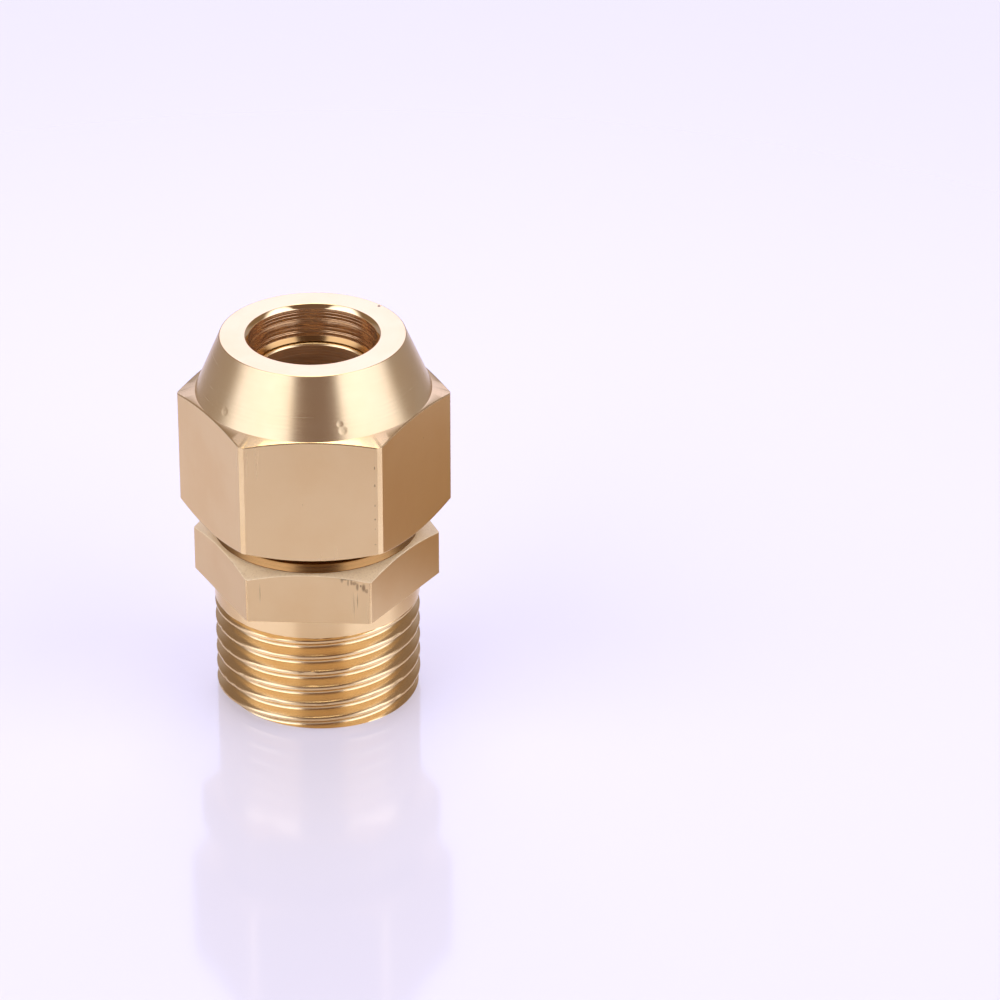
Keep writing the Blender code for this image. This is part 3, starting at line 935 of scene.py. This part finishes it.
add_to(body, turn(draw_outline([
    (END_RING, BODY_BOTTOM, 0),
    (ENTRY_BORE + BORE_CHAMFER, BODY_BOTTOM, EDGE_ROUND),
    (ENTRY_BORE, BODY_BOTTOM + BORE_CHAMFER, EDGE_ROUND),
    (ENTRY_BORE, SHOULDER_BOTTOM, CORNER_ROUND),
    (THROAT, THROAT_BOTTOM, CORNER_ROUND),
    (THROAT, SOCKET_FLOOR, CORNER_ROUND),
    (SOCKET, SOCKET_FLOOR, 0),
    (SOCKET, BODY_TOP - SOCKET_CHAMFER, EDGE_ROUND),
    (SOCKET + SOCKET_CHAMFER, BODY_TOP, EDGE_ROUND),
    (TOP_CIRCLE - RING_ROOM, BODY_TOP, 0),
])))
print("with the inside:", len(body.faces), "faces")

# %% [markdown]
# ## The body's threads
# The entry thread has broad round crests, worn and nicked, so its outline starts from sharp corners that
# are rounded well down. A standard form with flat crests could be used, but it catches the light as thin
# double lines. The upper thread is a plain fine one, with a run-out above the neck and a lead-in at the
# top.

# %% Body threads
FLANK_SLOPE = 0.64
CREST_ROUND = 0.36
CREST_SHARP = ENTRY_CREST + CREST_ROUND * (math.hypot(1.0, FLANK_SLOPE) - FLANK_SLOPE)
ROOT_SHARP = CREST_SHARP - ENTRY_PITCH / 2 / FLANK_SLOPE
ROOT_ROUND = 0.5
CREST_NICK = (1.0, 0.25)
ENTRY_SPACING = 0.12
UPPER_SPACING = 0.2
CREST_HALF = NUT_PITCH / 12
FINE_ROUND = 0.1


def entry_limit(radius, height, place):
    """The lead-in cone at the foot, the collar with the flank under it, and nicks in the crests."""
    lead = END_CIRCLE + height * LEAD_SLOPE
    collar = COLLAR - max(COLLAR_BOTTOM - height, 0.0) / ENTRY_SLOPE
    crest = ENTRY_CREST - nick(place, *CREST_NICK)
    return max(min(radius, lead, crest), collar)


def upper_limit(radius, height, place):
    """The run-out above the neck, and the 45 degree lead-in at the top."""
    runout = max(UPPER_ROOT, UPPER_ROOT + height - UPPER_START)
    lead = TOP_CIRCLE + BODY_TOP - height
    return min(radius, runout, lead)


entry_form = thread_form(CREST_SHARP, ROOT_SHARP, 0, FLANK_SLOPE, ENTRY_PITCH, CREST_ROUND, ROOT_ROUND)
add_to(body, cut_thread(entry_form, ENTRY_PITCH, ENTRY_START, BODY_BOTTOM, HEX_BOTTOM,
                        ENTRY_SPACING, entry_limit))
upper_form = thread_form(UPPER_CREST, UPPER_ROOT, CREST_HALF, NUT_SLOPE, NUT_PITCH, FINE_ROUND, FINE_ROUND)
add_to(body, cut_thread(upper_form, NUT_PITCH, NECK_TOP, NECK_TOP, BODY_TOP, UPPER_SPACING, upper_limit))
for height in (BODY_BOTTOM, HEX_BOTTOM, NECK_TOP, BODY_TOP):
    close_ring(body, height)
body_finishes = [body_turned, body_drawn, neck_shade_finish, body_faced]
add_piece("threaded_body", body, body_finishes, "gland_body", "body")

# %% [markdown]
# ## The nut's sizes
# The nut is turned from larger hexagon bar. A long cone leads down from its flat end to the flats, and
# its mouth takes the cable. Inside are a lip, the seat that bears on the ferrule, a relief, and the
# thread. The sizes that have to match the body's thread are worked out from it, so that the two always
# fit.

# %% Nut sizes
NUT_BOTTOM, NUT_TOP = heights("gland_nut")
FERRULE_BOTTOM, FERRULE_TOP = heights("thrust_ferrule")
NUT_FLAT = 12.0
NUT_EDGE = 0.10
NUT_BLANK = 13.72
NUT_FOOT = NUT_FLAT - 0.1
NUT_FOOT_HEIGHT = NUT_TOP - 5.99
NUT_BOTTOM_SLOPE = math.tan(math.radians(24.0))
NUT_SHOULDER_SLOPE = math.tan(math.radians(19.0))
NUT_TOP_CIRCLE = 9.35
NUT_TOP_ROUND = 0.1
NUT_BOTTOM_ROUND = 0.03
MOUTH = 6.44
MOUTH_FOOT = MOUTH - 0.12
MOUTH_CHAMFER = 0.37
MOUTH_ROUND = 0.06
SEAT_TOP = NUT_TOP - 4.08
LIP_CIRCLE = 5.95
LIP_EDGE = SEAT_TOP + 0.24
LIP_TOP = LIP_EDGE + 0.47
LIP_ROUND = 0.05
RELIEF = 10.3
RELIEF_TOP = SEAT_TOP + MOUTH - RELIEF
RIM_BOTTOM = FERRULE_BOTTOM + 4.04
RELIEF_BOTTOM = RIM_BOTTOM - 0.3
THREAD_PLAY = 0.2
FLANK_PLAY = 0.17
NUT_BORE = UPPER_ROOT + THREAD_PLAY
NUT_GROOVE = UPPER_CREST + THREAD_PLAY
GROOVE_HALF = CREST_HALF + FLANK_PLAY - THREAD_PLAY * NUT_SLOPE
COUNTERBORE = UPPER_CREST + 0.25
COUNTERBORE_TOP = NUT_BOTTOM + 1.9
print("nut:", NUT_BOTTOM, "to", NUT_TOP, "mm")

# %% [markdown]
# ## The nut
# The outside, the mouth and the relief are one outline, the flats are milled through it, and the thread
# is added from below. The thread could be left out, since it is hidden at rest, but it shows when the
# nut is undone.

# %% Nut
SHADED_BORE, CUT, SHADED_SEAT = 2, 3, 4


def nut_limit(radius, height, place):
    """The counterbore under the thread, with its 45 degree step."""
    return max(radius, min(COUNTERBORE, COUNTERBORE - (height - COUNTERBORE_TOP)))


nut = turn(draw_outline([
    (COUNTERBORE + RING_ROOM, NUT_BOTTOM, 0),
    (NUT_FOOT, NUT_BOTTOM, NUT_BOTTOM_ROUND),
    (NUT_BLANK, NUT_BOTTOM + (NUT_BLANK - NUT_FOOT) * NUT_BOTTOM_SLOPE, 0),
    (NUT_BLANK, NUT_FOOT_HEIGHT - (NUT_BLANK - NUT_FOOT) * NUT_SHOULDER_SLOPE, 0),
    (NUT_FOOT, NUT_FOOT_HEIGHT, 0),
    (NUT_TOP_CIRCLE, NUT_TOP, NUT_TOP_ROUND),
    (MOUTH + MOUTH_CHAMFER, NUT_TOP, MOUTH_ROUND),
    (MOUTH, NUT_TOP - MOUTH_CHAMFER, MOUTH_ROUND),
    (MOUTH_FOOT, LIP_TOP, LIP_ROUND),
    (LIP_CIRCLE, LIP_EDGE, LIP_ROUND),
    (RELIEF, RELIEF_TOP, 0),
    (RELIEF, RELIEF_BOTTOM, 0),
]))
mill_flats(nut, NUT_FLAT, 0.0, NUT_EDGE)
# The seat and the lip get painted shade.
finish_faces(nut, SHADED_SEAT, SEAT_TOP, LIP_TOP, 0.0, MOUTH)
# The mouth's wall gets the bores' painted shade.
finish_faces(nut, SHADED_BORE, LIP_TOP, NUT_TOP - MOUTH_CHAMFER, 0.0, MOUTH + HAIR)
finish_faces(nut, CUT, SEAT_TOP, NUT_TOP - HAIR, 0.0, MOUTH + MOUTH_CHAMFER)
nut_form = thread_form(NUT_GROOVE, NUT_BORE, GROOVE_HALF, NUT_SLOPE, NUT_PITCH, FINE_ROUND, FINE_ROUND)
add_to(nut, cut_thread(nut_form, NUT_PITCH, NECK_TOP, NUT_BOTTOM, RELIEF_BOTTOM, UPPER_SPACING, nut_limit))
for height in (NUT_BOTTOM, RELIEF_BOTTOM):
    close_ring(nut, height)
nut_finishes = [nut_turned, nut_drawn, nut_bore_shade_finish, nut_cut, seat_shade_finish]
add_piece("cone_nosed_nut", nut, nut_finishes, "gland_nut", "nut")

# %% [markdown]
# ## The ferrule
# The ferrule is a ring with a conical nose that lies in the nut's seat, and a stem that goes down into the
# body and pushes on the seal. Two rings could be joined to make it, but one closed outline gives a solid at
# once. Its bore has the same painted shade as the nut's.

# %% Ferrule
STEM = SOCKET - 0.2
STEM_CHAMFER = 0.3
FERRULE_BORE = 5.66
TIP = 6.05
TIP_CHAMFER = 0.18
TIP_ROUND = 0.03
RIM = 9.65
RIM_HEIGHT = 0.6

ferrule = turn(draw_outline([
    (TIP, FERRULE_TOP, TIP_ROUND),
    (RIM, RIM_BOTTOM + RIM_HEIGHT, CORNER_ROUND),
    (RIM, RIM_BOTTOM, CORNER_ROUND),
    (STEM, RIM_BOTTOM, CORNER_ROUND),
    (STEM, FERRULE_BOTTOM + STEM_CHAMFER, EDGE_ROUND),
    (STEM - STEM_CHAMFER, FERRULE_BOTTOM, EDGE_ROUND),
    (FERRULE_BORE, FERRULE_BOTTOM, CORNER_ROUND),
    (FERRULE_BORE, FERRULE_TOP - TIP_CHAMFER, TIP_ROUND),
    (FERRULE_BORE + TIP_CHAMFER, FERRULE_TOP, TIP_ROUND),
], closed=True))
# The ferrule's bore gets the bores' painted shade.
finish_faces(ferrule, SHADED_BORE, FERRULE_BOTTOM, FERRULE_TOP - TIP_CHAMFER, 0.0, FERRULE_BORE + HAIR)
add_piece("nosed_ferrule", ferrule, [ferrule_turned, ferrule_turned, ferrule_bore_shade_finish],
          "thrust_ferrule", "ferrule")

# %% [markdown]
# ## The seal and its washer
# The seal rests on a thin washer in the socket, and the ferrule presses on it from above. It could ride on
# the body alone, but then the ferrule would sink into it. Here it rides on no body.

# %% Seal and washer
SEAL_BOTTOM, SEAL_TOP = heights("sealing_sleeve")
SEAL_OUTER_ROUND = 0.5
SEAL_INNER_ROUND = 0.25
WASHER_BOTTOM, WASHER_TOP = heights("seat_washer")
WASHER_ROUND = 0.15

seal = turn(draw_outline([
    (STEM, SEAL_TOP, SEAL_OUTER_ROUND),
    (STEM, SEAL_BOTTOM, SEAL_OUTER_ROUND),
    (THROAT, SEAL_BOTTOM, SEAL_INNER_ROUND),
    (THROAT, SEAL_TOP, SEAL_INNER_ROUND),
], closed=True))
sleeve = add_piece("rubber_sleeve", seal, [seal_rubber], "sealing_sleeve")
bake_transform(sleeve)

washer = turn(draw_outline([
    (STEM, WASHER_TOP, WASHER_ROUND),
    (STEM, WASHER_BOTTOM, WASHER_ROUND),
    (THROAT, WASHER_BOTTOM, WASHER_ROUND),
    (THROAT, WASHER_TOP, WASHER_ROUND),
], closed=True))
add_piece("thin_washer", washer, [washer_turned], "seat_washer", "body")

# %% [markdown]
# ## The packed model's box
# The dressed gland has to stay inside the box of the packed model.
